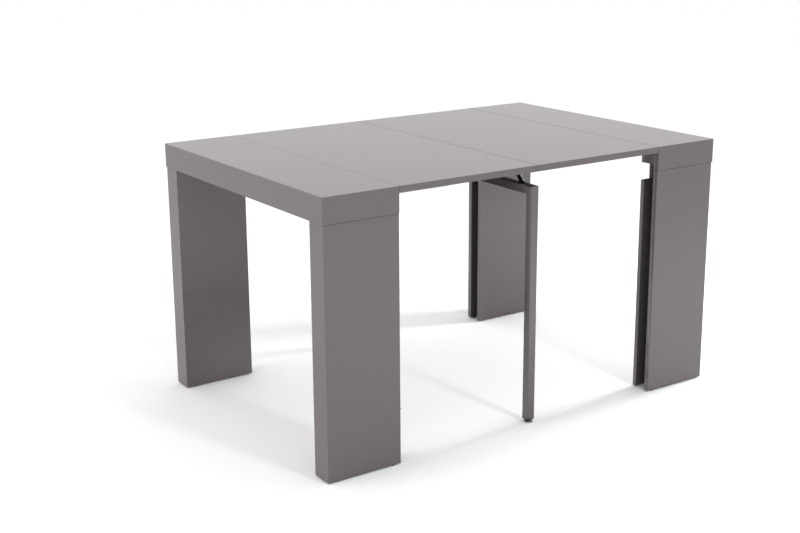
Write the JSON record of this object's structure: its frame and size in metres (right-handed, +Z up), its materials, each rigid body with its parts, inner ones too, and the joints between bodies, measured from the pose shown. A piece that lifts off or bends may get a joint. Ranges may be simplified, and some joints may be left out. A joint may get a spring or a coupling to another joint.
{
  "type": "extendable console table",
  "caption": "Extendable console table with a flat slab top on channel legs, drop-in leaves on telescopic slides, and a tube support frame under the middle of the span.",
  "frame": {"origin": "on the floor, under the middle of the table as it stands with its leaves in", "axes": "+X is the way the right end pulls out, +Y points from the front side to the back side, +Z is up"},
  "size_m": [1.35, 0.9, 0.75],
  "materials": {
    "taupe_lacquer": "high-gloss lacquer on board",
    "shadow_paint": "dark matt paint on board",
    "batten_wood": "planed softwood",
    "slide_aluminium": "extruded, satin",
    "frame_paint": "satin powder coat",
    "black_steel": "black coated",
    "black_plastic": "moulded",
    "bright_steel": "zinc bright"
  },
  "bodies": {
    "left_end": {"left_top_panel": "taupe_lacquer", "left_end_apron": "taupe_lacquer", "left_front_apron": "taupe_lacquer", "left_back_apron": "taupe_lacquer", "left_front_leg_outer_panel": "taupe_lacquer", "left_front_leg_end_panel": "taupe_lacquer", "left_front_leg_inner_panel": "taupe_lacquer", "left_front_leg_head_block": "shadow_paint", "left_front_leg_mouth_glide": "black_plastic", "left_front_leg_end_glide": "black_plastic", "left_back_leg_outer_panel": "taupe_lacquer", "left_back_leg_end_panel": "taupe_lacquer", "left_back_leg_inner_panel": "taupe_lacquer", "left_back_leg_head_block": "shadow_paint", "left_back_leg_mouth_glide": "black_plastic", "left_back_leg_end_glide": "black_plastic", "left_front_closing_pin": "bright_steel", "left_back_closing_pin": "bright_steel", "front_slide_stage_1": "slide_aluminium", "back_slide_stage_1": "slide_aluminium"},
    "slide_stage_2": {"front_slide_stage_2": "slide_aluminium", "back_slide_stage_2": "slide_aluminium"},
    "centre_frame": {"front_slide_stage_3": "slide_aluminium", "back_slide_stage_3": "slide_aluminium", "frame_crossbar": "frame_paint", "frame_front_leg": "frame_paint", "frame_back_leg": "frame_paint", "frame_front_plug": "black_plastic", "frame_back_plug": "black_plastic", "frame_front_hanger": "black_steel", "frame_back_hanger": "black_steel"},
    "slide_stage_4": {"front_slide_stage_4": "slide_aluminium", "back_slide_stage_4": "slide_aluminium"},
    "right_end": {"right_top_panel": "taupe_lacquer", "right_end_apron": "taupe_lacquer", "right_front_apron": "taupe_lacquer", "right_back_apron": "taupe_lacquer", "right_front_leg_outer_panel": "taupe_lacquer", "right_front_leg_end_panel": "taupe_lacquer", "right_front_leg_inner_panel": "taupe_lacquer", "right_front_leg_head_block": "shadow_paint", "right_front_leg_mouth_glide": "black_plastic", "right_front_leg_end_glide": "black_plastic", "right_back_leg_outer_panel": "taupe_lacquer", "right_back_leg_end_panel": "taupe_lacquer", "right_back_leg_inner_panel": "taupe_lacquer", "right_back_leg_head_block": "shadow_paint", "right_back_leg_mouth_glide": "black_plastic", "right_back_leg_end_glide": "black_plastic", "front_slide_stage_5": "slide_aluminium", "back_slide_stage_5": "slide_aluminium"},
    "leaf_1": {"leaf_1_panel": "taupe_lacquer", "leaf_1_front_batten": "batten_wood", "leaf_1_back_batten": "batten_wood"},
    "leaf_2": {"leaf_2_panel": "taupe_lacquer", "leaf_2_front_batten": "batten_wood", "leaf_2_back_batten": "batten_wood"},
    "front_foot": {"front_foot": "bright_steel"},
    "back_foot": {"back_foot": "bright_steel"}
  },
  "joints": [
    {"name": "extension", "type": "slide", "parent": "left_end", "child": "right_end", "axis": [1, 0, 0], "range_m": [0, 0.45]},
    {"name": "slide_stage_2_travel", "type": "slide", "parent": "left_end", "child": "slide_stage_2", "axis": [1, 0, 0], "range_m": [0, 0.1125]},
    {"name": "centre_frame_travel", "type": "slide", "parent": "left_end", "child": "centre_frame", "axis": [1, 0, 0], "range_m": [0, 0.225]},
    {"name": "slide_stage_4_travel", "type": "slide", "parent": "left_end", "child": "slide_stage_4", "axis": [1, 0, 0], "range_m": [0, 0.3375]},
    {"name": "leaf_1_lift", "type": "slide", "parent": "left_end", "child": "leaf_1", "axis": [0, 0, 1], "range_m": [0, 0.2]},
    {"name": "leaf_2_lift", "type": "slide", "parent": "left_end", "child": "leaf_2", "axis": [0, 0, 1], "range_m": [0, 0.2]},
    {"name": "front_foot_turn", "type": "hinge", "parent": "centre_frame", "child": "front_foot", "pos_m": [0.01, -0.416, 0], "axis": [0, 0, 1], "continuous": true},
    {"name": "back_foot_turn", "type": "hinge", "parent": "centre_frame", "child": "back_foot", "pos_m": [0.01, 0.416, 0], "axis": [0, 0, 1], "continuous": true}
  ],
  "couplings": [
    {"joint": "slide_stage_2_travel", "follows": "extension", "ratio": 0.25},
    {"joint": "centre_frame_travel", "follows": "extension", "ratio": 0.5},
    {"joint": "slide_stage_4_travel", "follows": "extension", "ratio": 0.75}
  ]
}
